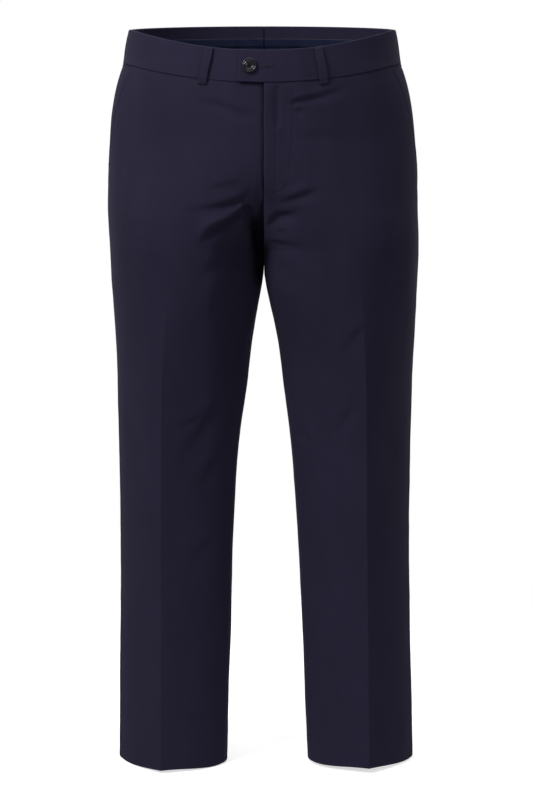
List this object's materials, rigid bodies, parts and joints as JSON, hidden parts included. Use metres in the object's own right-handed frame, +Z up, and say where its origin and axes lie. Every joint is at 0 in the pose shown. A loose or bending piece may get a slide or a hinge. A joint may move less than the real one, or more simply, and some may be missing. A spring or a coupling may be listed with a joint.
{
  "type": "dress trousers",
  "caption": "Flat-front dress trousers in dark navy wool, filled out and held at the waist, with a buttoned tab, belt loops, slant pockets and pressed creases.",
  "frame": {"origin": "the middle of the waist opening, level with the top of the waistband at the side seams", "axes": "+Z up, the front faces -Y, the wearer's left is +X"},
  "size_m": [0.4323, 0.2975, 1.0431],
  "materials": {
    "navy_wool": "fine smooth twill with a soft matt sheen",
    "blue_lining": "smooth lining satin",
    "zip_tape": "woven zip tape with a closed chain",
    "dark_button": "glossy dark four-hole button"
  },
  "bodies": {
    "root": {"front_left": "navy_wool", "front_right": "navy_wool", "back_left": "navy_wool", "back_right": "navy_wool", "waistband_left": "navy_wool", "waistband_right": "navy_wool", "facing_left": "navy_wool", "facing_right": "navy_wool", "curtain_left": "blue_lining", "curtain_right": "blue_lining", "pocket_piece_left": "navy_wool", "pocket_piece_right": "navy_wool", "belt_loop_front_left": "navy_wool", "belt_loop_front_right": "navy_wool", "belt_loop_side_left": "navy_wool", "belt_loop_side_right": "navy_wool", "belt_loop_back_left": "navy_wool", "belt_loop_back_right": "navy_wool", "belt_loop_centre_back": "navy_wool", "fly_zip": "zip_tape", "fly_shield": "navy_wool", "button": "dark_button"}
  },
  "joints": []
}
